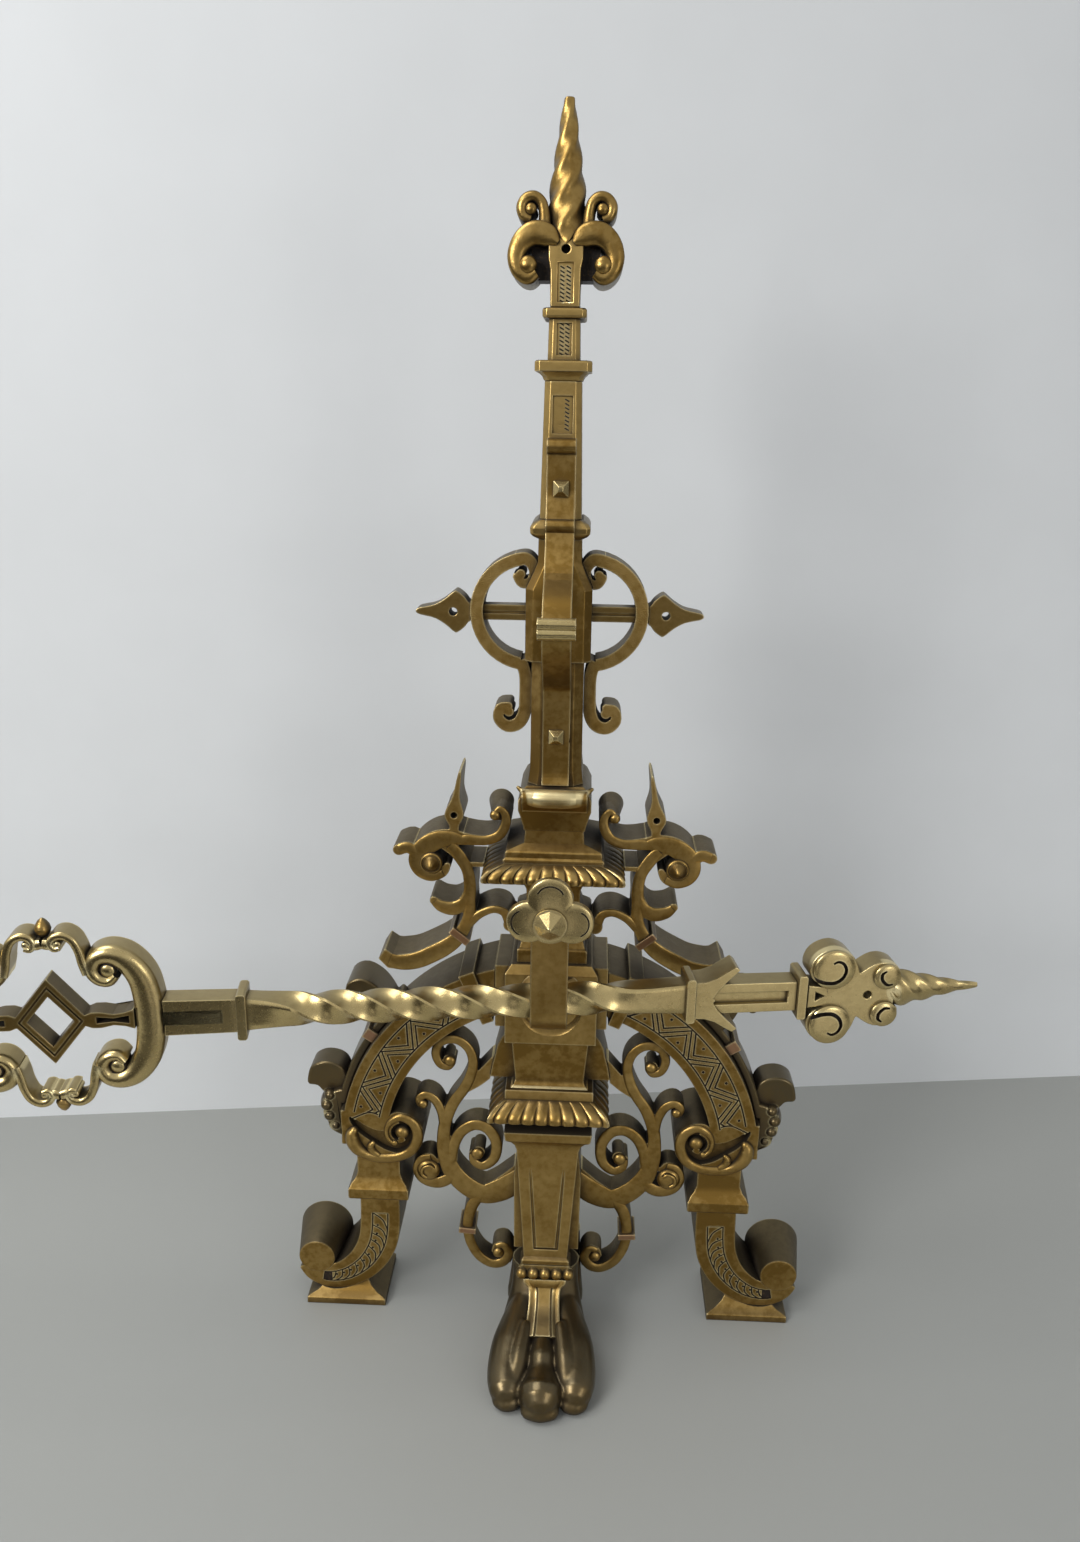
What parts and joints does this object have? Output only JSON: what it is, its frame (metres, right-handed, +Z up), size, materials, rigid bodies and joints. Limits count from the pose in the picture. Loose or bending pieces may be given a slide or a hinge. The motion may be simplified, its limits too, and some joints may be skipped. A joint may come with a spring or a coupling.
{
  "type": "andiron",
  "caption": "Free-standing brass andiron: lion paw foot, round arch on scrolled side legs, stacked upright with a twisted spike, and a hook that carries a lift-out twisted crossbar.",
  "frame": {"origin": "centre of the front paw's sole, on the floor", "axes": "+X along the hearth towards the crossbar's near spike, +Y back into the fireplace, +Z up; the upright's axis stands 86 mm behind the origin"},
  "size_m": [1.0104, 0.2061, 0.7],
  "materials": {
    "brass_aged": "cast brass, chased, with old polish and brown patina in the recesses",
    "brass_polished": "cast brass, worn bright on the edges",
    "brass_dark": "cast brass, darker patina",
    "iron_rod": "plain drawn iron rod"
  },
  "bodies": {
    "andiron": {"front_paw": "brass_aged", "bead_band": "brass_polished", "pilaster": "brass_aged", "gadroon_lower": "brass_polished", "pedestal_lower": "brass_aged", "arch_block": "brass_aged", "arch_left": "brass_aged", "arch_right": "brass_aged", "arch_collars": "brass_dark", "rim_clasps": "brass_dark", "rim_strip_left": "brass_aged", "rim_strip_right": "brass_aged", "leaf_left": "brass_polished", "leaf_right": "brass_polished", "leg_cap_left": "brass_polished", "leg_cap_right": "brass_polished", "side_leg_left": "brass_aged", "side_leg_right": "brass_aged", "foot_plate_left": "brass_dark", "foot_plate_right": "brass_dark", "lower_scroll_left": "brass_aged", "lower_scroll_right": "brass_aged", "plinth_neck": "brass_aged", "gadroon_upper": "brass_polished", "pedestal_upper": "brass_aged", "upper_scroll_left": "brass_aged", "upper_scroll_right": "brass_aged", "scroll_clips": "brass_polished", "shaft_lower": "brass_aged", "casing": "brass_aged", "ring_left": "brass_polished", "ring_right": "brass_polished", "spear_left": "brass_polished", "spear_right": "brass_polished", "collar_mid": "brass_polished", "shaft_upper": "brass_aged", "collar_upper": "brass_polished", "shaft_top": "brass_aged", "collar_top": "brass_polished", "finial": "brass_polished", "front_strap": "brass_polished", "strap_ferrule": "brass_dark", "strap_bolts": "brass_dark", "strap_apron": "brass_polished", "hook": "brass_polished", "hook_head": "brass_polished", "hook_stud": "brass_dark", "tie_rod": "iron_rod"},
    "crossbar": {"bar_left": "brass_aged", "bar_right": "brass_aged", "bar_collars": "brass_polished", "bar_fishtails": "brass_polished", "bar_finial_left": "brass_polished", "bar_finial_right": "brass_polished", "centre_scrolls": "brass_aged", "centre_diamond": "brass_polished", "centre_buds": "brass_dark"}
  },
  "joints": [
    {"name": "crossbar_lift", "type": "slide", "parent": "andiron", "child": "crossbar", "axis": [0, 0, 1], "range_m": [0, 0.1]}
  ]
}
